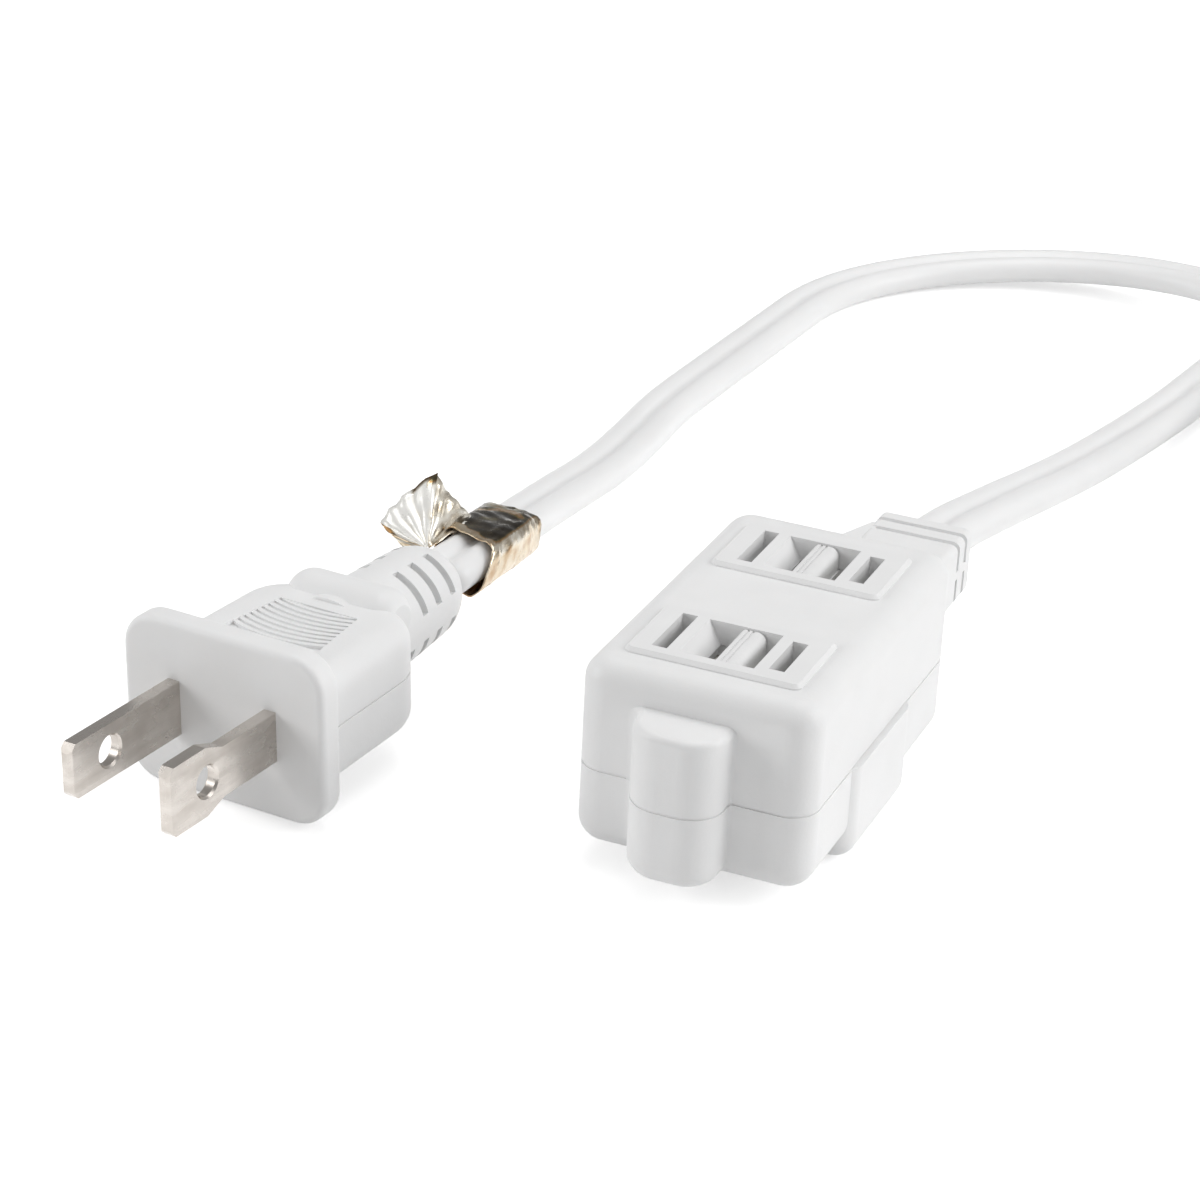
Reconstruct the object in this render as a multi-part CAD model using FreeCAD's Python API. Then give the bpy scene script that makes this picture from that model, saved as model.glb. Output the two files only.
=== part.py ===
"""Three-outlet extension cord: a moulded tap block, its flat two-wire cord and its moulded plug.

Millimetres. +Z is up, and Z = 0 is the surface that everything lies on. X runs across the tap block,
from its neutral side to its hot side, and +Y points the way the cord leaves the block. The origin is
the middle of the block's outline, bump and collar included, on the surface below it.
"""

import FreeCAD, Part
import math
import os
from FreeCAD import Placement, Rotation, Vector

os.makedirs("parts", exist_ok=True)

# Tap block, outside
body_width = 26.4
body_length = 45.0
body_top = 24.0
body_bottom = 2.4
body_corner = 3.2
body_edge = 2.8
split_height = 11.65
groove_width = 0.3
groove_depth = 0.15

# Pull bump on the front of the block
bump_offset = -0.5
bump_width = 10.2
bump_reach = 5.5
bump_top = 20.3
bump_bottom = 2.9
bump_left_flare = 1.5
bump_right_flare = 0.4
bump_corner = 3.9
bump_top_edge = 0.8
bump_bottom_edge = 2.2

# Collar where the cord leaves the back of the block
collar_offset = 6.8
collar_width = 10.9
collar_shoulder = 2.0
collar_shoulder_length = 5.2
collar_shoulder_drop = 0.15
collar_reach = 8.5
collar_height = 19.1
collar_thickness = 7.7
collar_corner = 0.9
collar_grooves = (3.7, 6.3)
collar_groove_width = 0.8
collar_groove_depth = 0.7
collar_web = 1.0
collar_rim = 0.3

# Outlets
slot_spacing = 12.7
slot_width = 1.7
neutral_slot = 8.6
hot_slot = 7.1
outlet_pitch = 24.0
outlet_shift = -0.6
boss_width = 19.6
boss_length = 12.0
boss_proud = 0.55
boss_chamfer = 0.4
boss_corner = 1.0
face_thickness = 2.7
window_width = 8.3
window_length = 8.6
ramp_depth = 1.4

# Shutters
channel_depth = 1.4
shutter_thickness = 1.2
shutter_rail = 0.8
shutter_lap = 0.225
shutter_length = 10.4
thumb_width = 2.75
thumb_shift = 1.0
thumb_recess = 0.2
thumb_edge = 0.25
thumb_drop = 1.1
thumb_round = 1.0
thumb_foot = 0.2
thumb_grooves = (0.6, 1.15)
thumb_groove = 0.25
thumb_groove_depth = 0.15
front_shutter_slide = 0.0
rear_shutter_slide = -0.7
under_shutter_slide = -2.15

# Carrier halves inside the block
strand_room = 0.45
skin_front = 2.5
skin_rear = 5.5
skin_top = 2.0
skin_bottom = 1.8
carrier_wall = 1.2
carrier_floor = 0.8
guide_thickness = 1.2
guide_slot = 2.1
guide_slot_length = 9.0
guide_window_width = 5.4
guide_window_length = 7.6
rib_a = (-8.0, -6.5)
rib_b = (5.1, 6.0)
rib_inner = 6.6

# Third outlet's housing under the block
housing_width = 27.6
housing_length = 19.5
housing_edge = 2.0
housing_corner = 2.5
housing_skin = 1.5
housing_wall = 1.75

# Contact strips
strip_thickness = 0.5
strip_offset = 1.35
strip_bottom = 9.85
strip_height = 3.6
leaf_width = 6.0
web_offset = 5.2
leaf_top_gap = 0.65
leaf_bottom_gap = 0.45
leaf_bend = ((0.0, 0.0), (0.0, 0.22), (0.65, 0.62), (0.2, 1.0))
strip_end_gap = 0.4

# Wires
lead_diameter = 3.4
lead_bend = 3.2
lead_pitch = 3.6
strand_diameter = 1.6
strand_length = 5.8
cord_width = 7.4
cord_thickness = 3.8
cord_web = 2.5
cord_length = 1830.0

# Plug
plug_at = Vector(-51.05, -30.4, 0.0)
plug_yaw = -7.7
plug_side_tilt = -1.9
plug_rear_tilt = 0.5
flange_width = 26.4
flange_height = 19.9
flange_thickness = 3.3
flange_corner = 4.2
flange_edge = 0.8
grip_length = 20.6
grip_front_half = 11.2
grip_rear_half = 10.7
grip_corner = 6.0
grip_seam = 0.0
seam_end = 2.5
grip_edge = 2.9
grip_bottom = 7.3
grip_top = 6.2
hump_top = 7.6
hump_radius = 3.4
hump_back = 0.6
hump_half = 7.2
hump_fade = 3.0
hump_fade_turn = 60.0
pad_front_half = 6.3
pad_rear_half = 5.2
pad_start = 9.0
pad_length = 8.9
pad_depth = 0.5
pad_ribs = 9
relief_length = 16.6
relief_lift = 0.84
relief_radius = 6.6
relief_end_radius = 3.8
relief_taper = 0.9
relief_nose = 4.2
relief_nose_drop = 0.8
relief_nose_mid = 1.5
relief_slots = (27.2, 30.3, 33.3, 36.4)
relief_slot_turns = (44, 136, 224, 316)
relief_slot_span = 29
relief_upper_rows = 3
relief_slot_width = 1.1
relief_slot_depth = 1.8
blade_thickness = 1.5
blade_length = 18.3
hot_blade_width = 6.35
neutral_blade_width = 7.94
neutral_root_width = 5.8
blade_hole = 3.4
blade_hole_rim = 0.25
blade_hole_at = 11.9
blade_corner = 0.9
blade_tip_chamfer = 0.35
tail_width = 4.0
tail_length = 9.5
barrel_start = 9.0
barrel_length = 4.5
barrel_radius = 1.5
bridge_width = 20.0
bridge_height = 10.0
bridge_start = 1.2
bridge_length = 5.0

# Foil tag wrapped round the cord behind the plug
tag_start = 0.4
tag_end = 24.0
tag_front = 4.6
tag_rear = 20.8
tag_skew = -0.55
tag_lean = 1.3
tag_clearance = 0.2
tag_slack = 0.35
tag_thickness = 0.35
tag_crease = 0.25
tag_fan = (
    (-3.5, 44.4, 2.5),
    (-6.58, 43.56, 2.57),
    (-8.77, 44.02, 3.49),
    (-10.38, 44.5, 4.28),
    (-9.77, 46.56, 5.83),
    (-8.77, 48.64, 7.29),
    (-6.79, 51.5, 9.15),
)
tag_gusset = (
    (-3.5, 44.4, 2.5),
    (-6.79, 51.5, 9.15),
    (-5.98, 51.6, 7.42),
    (-5.27, 52.33, 5.87),
    (-4.5, 53.56, 4.16),
    (-3.97, 54.4, 2.97),
)

# Coil of the length that is put away
coil_at = Vector(69.6, 122.2, 0.0)
coil_reach = 34.0
coil_straight = 40.0
coil_pitch = 7.9
coil_rise = 4.3
coil_half_turns = 11
tie_width = 5.0
tie_thickness = 0.4
tie_gap = 0.25
tie_knot = 6.0
tie_knot_radius = 1.0
tie_corner = 1.0

# The cord's free stretches, chosen by hand. Each leaves its strain relief straight and ends at the coil.
plug_lead_out = 10.7
tap_lead_out = 5.0
plug_route = [
    Vector(-46.7, 36.5, 8.4),
    Vector(-47.4, 49.5, 6.5),
    Vector(-47.7, 63.5, 4.6),
    Vector(-49.2, 78.0, 3.0),
    Vector(-50.8, 92.5, 2.1),
    Vector(-50.1, 107.5, 1.95),
    Vector(-48.7, 128.3, 2.0),
    Vector(-47.5, 148.5, 1.95),
    Vector(-36.7, 165.2, 2.2),
    Vector(-19.1, 174.5, 3.3),
    Vector(0.8, 173.9, 5.1),
    Vector(17.9, 163.6, 6.5),
    Vector(27.7, 146.2, 6.7),
]
tap_route = [
    Vector(8.9, 51.5, 16.6),
    Vector(9.75, 66.5, 13.4),
    Vector(10.2, 82.5, 9.9),
    Vector(10.5, 98.5, 6.7),
    Vector(11.2, 114.5, 4.2),
    Vector(12.3, 129.5, 2.5),
    Vector(15.2, 157.7, 1.95),
    Vector(25.6, 172.8, 2.1),
    Vector(43.1, 180.15, 2.4),
]

# Worked out from the sizes above
body_y = (bump_reach - collar_reach) / 2
front_y = body_y - body_length / 2
rear_y = body_y + body_length / 2
slot_x = slot_spacing / 2
outlet_y = body_y + outlet_shift
front_outlet_y = outlet_y - outlet_pitch / 2
rear_outlet_y = outlet_y + outlet_pitch / 2
top_face = body_top + boss_proud
carrier_front = front_y + skin_front
carrier_rear = rear_y - skin_rear
lead_x = slot_x + strip_offset + strip_thickness / 2 + strand_diameter / 2
cavity_half = lead_x + strand_diameter / 2 + strand_room
carrier_half = cavity_half + carrier_wall
cavity_front = carrier_front + carrier_wall
cavity_rear = carrier_rear - carrier_wall
carrier_top_z = body_top - skin_top
carrier_bottom_z = body_bottom + skin_bottom
floor_z = carrier_bottom_z + carrier_floor
channel_top = top_face - face_thickness
guide_top_z = channel_top - channel_depth
guide_bottom_z = guide_top_z - guide_thickness
under_guide_z = face_thickness + channel_depth
shutter_bar = slot_width + 2 * shutter_lap
shutter_left = -slot_x + slot_width / 2 + shutter_lap
shutter_right = slot_x + slot_width / 2 + shutter_lap + shutter_bar
shutter_play = 0.15
channel_left = shutter_left - shutter_bar - shutter_play
channel_right = shutter_right + shutter_play
channel_half = shutter_length / 2 + 0.1
guide_play = 0.1
under_guide_lap = 0.3
under_guide_play = 0.05
strip_play = 0.05
window_play = 0.15
plug_end_y = flange_thickness + grip_length + relief_length
relief_start = flange_thickness + grip_length - 4.0
collar_y = rear_y + collar_reach
lead_y = (rear_y + carrier_rear) / 2 + 0.25
coil_z = tie_thickness + 0.1 + cord_thickness / 2


def block(x0, x1, y0, y1, z0, z1):
    """A box between two corners."""
    return Part.makeBox(x1 - x0, y1 - y0, z1 - z0, Vector(x0, y0, z0))


def centred(width, length, y, z0, z1):
    """A box centred on X = 0 and on a given Y."""
    return block(-width / 2, width / 2, y - length / 2, y + length / 2, z0, z1)


def edges_along(shape, axis):
    """The straight edges of a shape that run along one axis."""
    found = []
    for edge in shape.Edges:
        if isinstance(edge.Curve, Part.Line) and abs(edge.Curve.Direction.dot(axis)) > 0.999:
            found.append(edge)
    return found


def rim(shape, height):
    """The edges of a shape that lie at one height."""
    return [e for e in shape.Edges if all(abs(v.Z - height) < 1e-4 for v in e.Vertexes)]


def rim_at_y(shape, y):
    """The edges of a shape that lie in one plane across Y."""
    return [e for e in shape.Edges if all(abs(v.Y - y) < 1e-4 for v in e.Vertexes)]


def outer_rim(shape, height):
    """The edges at one height that stand out in front of the block."""
    return [e for e in rim(shape, height) if all(v.Y < front_y + 1e-4 for v in e.Vertexes)]


def joined(shapes):
    """Several shapes as one solid."""
    first, rest = shapes[0], shapes[1:]
    return first.fuse(rest).removeSplitter() if rest else first


def polygon_face(points):
    """A flat face with straight sides."""
    return Part.Face(Part.makePolygon(points + [points[0]]))


def profile_face(parts):
    """A face from runs of points: two points make a line, three make an arc."""
    edges = []
    for run in parts:
        if len(run) == 2:
            edges.append(Part.LineSegment(*run).toShape())
        else:
            edges.append(Part.Arc(*run).toShape())
    return Part.Face(Part.Wire(Part.__sortEdges__(edges)))


def mirrored_x(shape):
    """The same shape on the other side of the block's middle plane."""
    return shape.mirror(Vector(0, 0, 0), Vector(1, 0, 0))


def export(shape, node):
    """Write one piece, and say so if it isn't a sound solid."""
    if not shape.isValid() or shape.Volume <= 0:
        print("unsound:", node)
    shape.exportStep("parts/" + node + ".step")


def tangent_path(points, radius=None):
    """Straight runs joined by tangent arcs. Without a radius, each arc takes 0.45 of its shorter run."""
    edges = []
    radii = []
    start = points[0]
    for before, corner, after in zip(points, points[1:], points[2:]):
        back = (before - corner).normalize()
        ahead = (after - corner).normalize()
        half_turn = (math.pi - back.getAngle(ahead)) / 2
        cut = 0.45 * min((before - corner).Length, (after - corner).Length)
        if radius:
            cut = radius * math.tan(half_turn)
        bend = cut / math.tan(half_turn)
        middle = (back + ahead).normalize()
        nearest = corner + middle * (bend / math.cos(half_turn) - bend)
        first, last = corner + back * cut, corner + ahead * cut
        edges.append(Part.LineSegment(start, first).toShape())
        edges.append(Part.Arc(first, nearest, last).toShape())
        start = last
        radii.append(bend)
    edges.append(Part.LineSegment(start, points[-1]).toShape())
    return Part.Wire(edges), radii


def swept(path, profile):
    """A solid along a path of lines and tangent arcs."""
    shell = Part.BRepOffsetAPI.MakePipeShell(path)
    shell.add(profile)
    shell.setTransitionMode(1)
    shell.build()
    shell.makeSolid()
    return shell.shape()


def round_wire(points, diameter, bend):
    """An insulated lead or bare strand along a path with bends of one radius."""
    path, _ = tangent_path(points, bend)
    axis = points[1] - points[0]
    return swept(path, Part.Wire(Part.makeCircle(diameter / 2, points[0], axis)))


def cord_profile(centre, direction):
    """The flat cord's outline: two round lobes with a web between them, lying flat."""
    side = direction.cross(Vector(0, 0, 1)).normalize()
    up = side.cross(direction).normalize()
    radius = cord_thickness / 2
    web = cord_web / 2
    lobe = (cord_width - cord_thickness) / 2
    reach = lobe - math.sqrt(radius * radius - web * web)

    def at(a, b):
        return centre + side * a + up * b

    outer = lobe + radius
    edges = [
        Part.Arc(at(reach, web), at(outer, 0), at(reach, -web)).toShape(),
        Part.LineSegment(at(reach, -web), at(-reach, -web)).toShape(),
        Part.Arc(at(-reach, -web), at(-outer, 0), at(-reach, web)).toShape(),
        Part.LineSegment(at(-reach, web), at(reach, web)).toShape(),
    ]
    return Part.Wire(edges)


def cord_solid(path, start, direction, name):
    """The cord along a path. Its volume is compared with its section times its length."""
    profile = cord_profile(start, direction)
    solid = swept(path, profile)
    expected = Part.Face(profile).Area * path.Length
    print(name, "length", round(path.Length, 1), "volume ratio", round(solid.Volume / expected, 5))
    return solid


def slots_and_window(y, z0, z1):
    """What is cut through one outlet face: two blade slots and the thumb's window."""
    neutral = centred(slot_width, neutral_slot, y, z0, z1)
    neutral.translate(Vector(-slot_x, 0, 0))
    hot = centred(slot_width, hot_slot, y, z0, z1)
    hot.translate(Vector(slot_x, 0, 0))
    window = centred(window_width, window_length, y, z0, z1)
    return [neutral, hot, window]


def outlet_boss(y, z_back, z_face):
    """The raised outlet face, chamfered round its rim."""
    boss = centred(boss_width, boss_length, y, min(z_back, z_face), max(z_back, z_face))
    boss = boss.makeFillet(boss_corner, edges_along(boss, Vector(0, 0, 1)))
    return boss.makeChamfer(boss_chamfer, rim(boss, z_face))


def window_ramp(y, z_inside, z_face):
    """The fixed slope on the neutral side of a window."""
    wall = -window_width / 2
    points = [
        Vector(wall, y - window_length / 2, z_face),
        Vector(wall, y - window_length / 2, z_inside),
        Vector(wall + ramp_depth, y - window_length / 2, z_inside),
    ]
    return polygon_face(points).extrude(Vector(0, window_length, 0))


def shutter_channel(y, z0, z1):
    """The shallow recess behind an outlet face that a shutter slides in."""
    return block(channel_left, channel_right, y - channel_half, y + channel_half, z0, z1)


def bump(inset=0.0):
    """The pull bump: a round-fronted block that flares into the front face."""
    half = bump_width / 2 - inset
    tip = front_y - bump_reach + inset
    corner = bump_corner - inset
    inside = front_y + body_edge
    corner_mid = corner * (1 - math.sqrt(0.5))

    def at(side, x_in, y):
        return Vector(bump_offset + side * (half - x_in), y, bump_bottom)

    parts = []
    for side, flare in ((-1, bump_left_flare), (1, bump_right_flare)):
        flare_mid = flare * (1 - math.sqrt(0.5))
        parts += [
            (at(side, -flare, inside), at(side, -flare, front_y)),
            (
                at(side, -flare, front_y),
                at(side, -flare_mid, front_y - flare_mid),
                at(side, 0, front_y - flare),
            ),
            (at(side, 0, front_y - flare), at(side, 0, tip + corner)),
            (at(side, 0, tip + corner), at(side, corner_mid, tip + corner_mid), at(side, corner, tip)),
        ]
    parts.append((at(-1, corner, tip), at(1, corner, tip)))
    parts.append((at(-1, -bump_left_flare, inside), at(1, -bump_right_flare, inside)))
    return profile_face(parts).extrude(Vector(0, 0, bump_top - bump_bottom))


def body_outline(inset=0.0):
    """The block's main outline as a plain prism, pulled in by a small amount."""
    box = block(
        -body_width / 2 + inset,
        body_width / 2 - inset,
        front_y + inset,
        rear_y - inset,
        body_bottom,
        body_top,
    )
    return box.makeFillet(body_corner - inset, edges_along(box, Vector(0, 0, 1)))


def housing_outline(inset=0.0):
    """The third outlet's housing below the block, up to the parting line."""
    box = block(
        -housing_width / 2 + inset,
        housing_width / 2 - inset,
        outlet_y - housing_length / 2 + inset,
        outlet_y + housing_length / 2 - inset,
        boss_proud,
        split_height,
    )
    return box.makeFillet(housing_corner, edges_along(box, Vector(0, 0, 1)))


def collar():
    """The cord's collar with its two broken grooves."""
    left = collar_offset - collar_width / 2
    bottom = collar_height - collar_thickness / 2
    box = block(left, left + collar_width, rear_y - body_edge, collar_y, bottom, bottom + collar_thickness)
    shape = box.makeFillet(collar_corner, edges_along(box, Vector(0, 1, 0)))
    shape = shape.makeFillet(collar_rim, rim_at_y(shape, collar_y))
    deep = collar_groove_depth
    core = block(
        left + deep,
        left + collar_width - deep,
        rear_y,
        collar_y,
        bottom + deep,
        bottom + collar_thickness - deep,
    )
    low, high = collar_height - collar_web / 2, collar_height + collar_web / 2
    web = block(left - 1, left + collar_width + 1, rear_y, collar_y, low, high)
    shoulder = polygon_face(
        [
            Vector(left + collar_corner, rear_y - body_edge, bottom + collar_corner),
            Vector(left - collar_shoulder, rear_y - body_edge, bottom + collar_corner),
            Vector(left - collar_shoulder, rear_y, bottom + collar_corner),
            Vector(left, rear_y + collar_shoulder_length, bottom + collar_corner),
            Vector(left + collar_corner, rear_y + collar_shoulder_length, bottom + collar_corner),
        ]
    ).extrude(Vector(0, 0, collar_thickness - collar_corner - collar_shoulder_drop))
    for place in collar_grooves:
        y0 = rear_y + place - collar_groove_width / 2
        y1 = y0 + collar_groove_width
        ring = block(left - 1, left + collar_width + 1, y0, y1, bottom - 1, bottom + collar_thickness + 1)
        shape = shape.cut(ring.cut([core, web]))
    return shape.fuse(shoulder)


def carrier_envelope():
    """The outside of both carrier halves together, which the moulded body fits round."""
    upper = block(-carrier_half, carrier_half, carrier_front, carrier_rear, split_height, carrier_top_z)
    lower = block(-carrier_half, carrier_half, carrier_front, carrier_rear, carrier_bottom_z, split_height)
    inner_length = housing_length - 2 * housing_wall
    housing = centred(2 * carrier_half, inner_length, outlet_y, boss_proud + housing_skin, carrier_bottom_z)
    bosses = [outlet_boss(y, carrier_top_z - 1, top_face) for y in (front_outlet_y, rear_outlet_y)]
    under = outlet_boss(outlet_y, boss_proud + housing_skin + 1, 0)
    return upper, lower, housing, bosses, under


def leads():
    """The two insulated leads from the cord's exit to the contact strips."""
    paths = []
    for side, x_out in ((1, collar_offset + lead_pitch / 2), (-1, collar_offset - lead_pitch / 2)):
        x_in = side * lead_x
        paths.append(
            [
                Vector(x_out, collar_y, collar_height),
                Vector(x_out, lead_y, collar_height),
                Vector(x_in, lead_y, split_height),
                Vector(x_in, cavity_rear, split_height),
            ]
        )
    return [round_wire(points, lead_diameter, lead_bend) for points in paths]


def tap_body():
    """The soft moulded block, with room for the carrier and the leads."""
    shell = body_outline()
    shell = shell.makeFillet(body_edge, rim(shell, body_top) + rim(shell, body_bottom))
    pull = bump()
    pull = pull.makeFillet(bump_top_edge, outer_rim(pull, bump_top))
    pull = pull.makeFillet(bump_bottom_edge, outer_rim(pull, bump_bottom))
    housing = housing_outline()
    housing = housing.makeFillet(housing_edge, rim(housing, boss_proud))
    shape = shell.fuse([pull, housing, collar()])
    low, high = split_height - groove_width / 2, split_height + groove_width / 2
    band = centred(2 * body_width, 2 * body_length, body_y, low, high)
    inner = body_outline(groove_depth).fuse([bump(groove_depth), collar()])
    shape = shape.cut(band.cut(inner))
    upper, lower, housing_core, bosses, under = carrier_envelope()
    return shape.cut([upper, lower, housing_core, under] + bosses + leads())


def carrier_top():
    """The upper half of the rigid carrier, with the two upper outlet faces."""
    upper, _, _, bosses, _ = carrier_envelope()
    shape = upper.fuse(bosses)
    tools = [block(-cavity_half, cavity_half, cavity_front, cavity_rear, split_height, guide_top_z)]
    for y in (front_outlet_y, rear_outlet_y):
        tools.append(shutter_channel(y, guide_top_z, channel_top))
        tools += slots_and_window(y, channel_top, top_face)
    shape = shape.cut(tools + leads())
    ramps = [window_ramp(y, channel_top, top_face) for y in (front_outlet_y, rear_outlet_y)]
    return joined([shape] + ramps)


def carrier_bottom():
    """The lower half of the carrier, with the outlet face below and the ribs that hold the strips."""
    _, lower, housing, _, under = carrier_envelope()
    shape = lower.fuse([housing, under])
    pocket_half = channel_half + under_guide_lap + under_guide_play
    tools = [
        block(-cavity_half, cavity_half, cavity_front, cavity_rear, floor_z, split_height),
        centred(2 * cavity_half, 2 * pocket_half, outlet_y, under_guide_z, floor_z),
        shutter_channel(outlet_y, face_thickness, under_guide_z),
    ]
    tools += slots_and_window(outlet_y, 0, face_thickness)
    shape = shape.cut(tools + leads())
    ribs = []
    for y0, y1 in (rib_a, rib_b):
        for side in (-1, 1):
            rib = block(rib_inner, cavity_half, body_y + y0, body_y + y1, floor_z, guide_bottom_z)
            band = slot_x + strip_offset
            half = strip_thickness / 2 + strip_play
            low = strip_bottom - strip_play
            groove = block(band - half, band + half, body_y + y0, body_y + y1, low, guide_bottom_z)
            rib = rib.cut(groove)
            ribs.append(rib if side > 0 else mirrored_x(rib))
    return joined([shape, window_ramp(outlet_y, face_thickness, 0)] + ribs)


def guide_plate(y0, y1, z0, outlets):
    """A flat plate that lines the blades up with their contacts."""
    half = cavity_half - guide_play
    slot_half = guide_slot_length / 2
    plate = block(-half, half, y0, y1, z0, z0 + guide_thickness)
    tools = []
    top = z0 + guide_thickness
    for y in outlets:
        for side in (-1, 1):
            x = side * slot_x
            tools.append(block(x - guide_slot / 2, x + guide_slot / 2, y - slot_half, y + slot_half, z0, top))
        tools.append(centred(guide_window_width, guide_window_length, y, z0, top))
    return plate.cut(tools)


def shutter(y, slide, upward):
    """A sliding shutter: a frame with two bars that close the slots, and a thumb rib in the window."""
    half = shutter_length / 2
    frame = block(shutter_left, shutter_right, -half, half, 0, shutter_thickness)
    open_half = half - shutter_rail
    left, right = thumb_shift - thumb_width / 2, thumb_shift + thumb_width / 2
    frame = frame.cut(
        [
            block(shutter_left + shutter_bar, left - thumb_foot, -open_half, open_half, 0, shutter_thickness),
            block(right + thumb_foot, shutter_right - shutter_bar, -open_half, open_half, 0, shutter_thickness),
        ]
    )
    reach = window_length / 2 - window_play
    top = (channel_depth - shutter_thickness) / 2 + shutter_thickness + face_thickness - thumb_recess
    round_mid = math.sqrt(0.5)

    def at(x, z):
        return Vector(x, -reach, z)

    rib = profile_face(
        [
            (at(left, 0), at(left, top - thumb_edge)),
            (at(left, top - thumb_edge), at(left + thumb_edge, top)),
            (at(left + thumb_edge, top), at(right - thumb_round, top)),
            (
                at(right - thumb_round, top),
                at(right - thumb_round * (1 - round_mid), top - thumb_drop * (1 - round_mid)),
                at(right, top - thumb_drop),
            ),
            (at(right, top - thumb_drop), at(right, 0)),
            (at(right, 0), at(left, 0)),
        ]
    ).extrude(Vector(0, 2 * reach, 0))
    for groove in thumb_grooves:
        x = left + groove
        rib = rib.cut(block(x, x + thumb_groove, -reach, reach, top - thumb_groove_depth, top))
    shape = joined([frame, rib])
    gap = (channel_depth - shutter_thickness) / 2
    if upward:
        shape.translate(Vector(slide, y, guide_top_z + gap))
    else:
        shape = shape.mirror(Vector(0, 0, 0), Vector(0, 0, 1))
        shape.translate(Vector(slide, y, under_guide_z - gap))
    return shape


def leaf(points, y):
    """One springy contact leaf: a thin strip bent through a row of points."""
    half = strip_thickness / 2
    near = [Vector(x - half, y - leaf_width / 2, z) for x, z in points]
    far = [Vector(x + half, y - leaf_width / 2, z) for x, z in reversed(points)]
    return polygon_face(near + far).extrude(Vector(0, leaf_width, 0))


def contact_strip():
    """The hot side's brass strip: one long band with a pair of leaves for each outlet."""
    half = strip_thickness / 2
    outer_x = slot_x + strip_offset
    inner_x = slot_x - strip_offset
    strip_top = strip_bottom + strip_height
    start_y, end_y = front_outlet_y - web_offset, cavity_rear - strip_end_gap
    pieces = [block(outer_x - half, outer_x + half, start_y, end_y, strip_bottom, strip_top)]
    outlets = ((front_outlet_y, 1), (rear_outlet_y, 1), (outlet_y, -1))
    top_room = guide_bottom_z - leaf_top_gap - strip_top
    bottom_room = strip_bottom - (under_guide_z + guide_thickness) - leaf_bottom_gap
    for y, way in outlets:
        web = y - web_offset
        span = (inner_x - half, outer_x + half, web, web + strip_thickness, strip_bottom, strip_top)
        pieces.append(block(*span))
        pieces.append(block(inner_x - half, inner_x + half, web, y + leaf_width / 2, strip_bottom, strip_top))
        start, room = (strip_top, top_room) if way > 0 else (strip_bottom, bottom_room)
        for x, side in ((outer_x, -1), (inner_x, 1)):
            points = [(x + side * lean, start + way * room * share) for lean, share in leaf_bend]
            pieces.append(leaf(points, y))
    return joined(pieces)


def strands(points):
    """The bare end of a wire."""
    start, end = points
    return Part.makeCylinder(strand_diameter / 2, (end - start).Length, start, end - start)


def placed(shape):
    """A plug piece moved from the plug's own frame to where the plug lies."""
    shape.Placement = plug_place.multiply(shape.Placement)
    return shape


def plug_point(x, y, z):
    """A point of the plug's own frame, where it lies."""
    return plug_place.multVec(Vector(x, y, z))


def flange():
    """The plug's front plate."""
    box = block(-flange_width / 2, flange_width / 2, 0, flange_thickness, -flange_height / 2, flange_height / 2)
    shape = box.makeFillet(flange_corner, edges_along(box, Vector(0, 1, 0)))
    shape = shape.makeFillet(flange_edge, rim_at_y(shape, 0))
    return shape.makeFillet(flange_edge, rim_at_y(shape, flange_thickness))


def lying_place():
    """Where the plug lies: turned, tilted a little, and with its flange's lowest point on the surface."""
    turn = Rotation(plug_yaw, plug_side_tilt, plug_rear_tilt)
    turned = flange()
    turned.Placement = Placement(Vector(0, 0, 0), turn)
    return Placement(plug_at - Vector(0, 0, turned.optimalBoundingBox(False, False).ZMin), turn)


def lifted(point):
    """A point of the strain relief's own frame, in the plug's frame: the relief points up a little."""
    turn = math.degrees(math.atan2(relief_lift, plug_end_y - relief_start))
    pivot = Vector(0, relief_start, 0)
    return pivot + Rotation(Vector(1, 0, 0), turn).multVec(point - pivot)


def grip_plan(inset=0.0):
    """The grip's outline seen from above, its rear corners round."""
    start = flange_thickness - 1.0
    end = flange_thickness + grip_length - inset
    slope = (grip_front_half - grip_rear_half) / grip_length
    corner = grip_corner
    low = -flange_height

    def at(side, y):
        return Vector(side * (grip_front_half - slope * (y - flange_thickness) - inset), y, low)

    bend = end - corner
    inner = at(1, bend).x - corner
    mid = corner * math.sqrt(0.5)
    return profile_face(
        [
            (at(-1, start), at(1, start)),
            (at(1, start), at(1, bend)),
            (at(1, bend), Vector(inner + mid, bend + mid, low), Vector(inner, end, low)),
            (Vector(inner, end, low), Vector(-inner, end, low)),
            (Vector(-inner, end, low), Vector(-inner - mid, bend + mid, low), at(-1, bend)),
            (at(-1, bend), at(-1, start)),
        ]
    ).extrude(Vector(0, 0, 2 * flange_height))


def grip():
    """The plug's body behind its flange: tapered, with round upper and lower rims."""
    start = flange_thickness - 1.0
    span = block(-flange_width, flange_width, 0, 2 * grip_length, -grip_bottom, grip_top)
    shape = grip_plan().common(span)
    rims = rim(shape, grip_top) + rim(shape, -grip_bottom)
    return shape.makeFillet(grip_edge, [edge for edge in rims if edge.BoundBox.YMax > start + 0.1])


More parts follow.
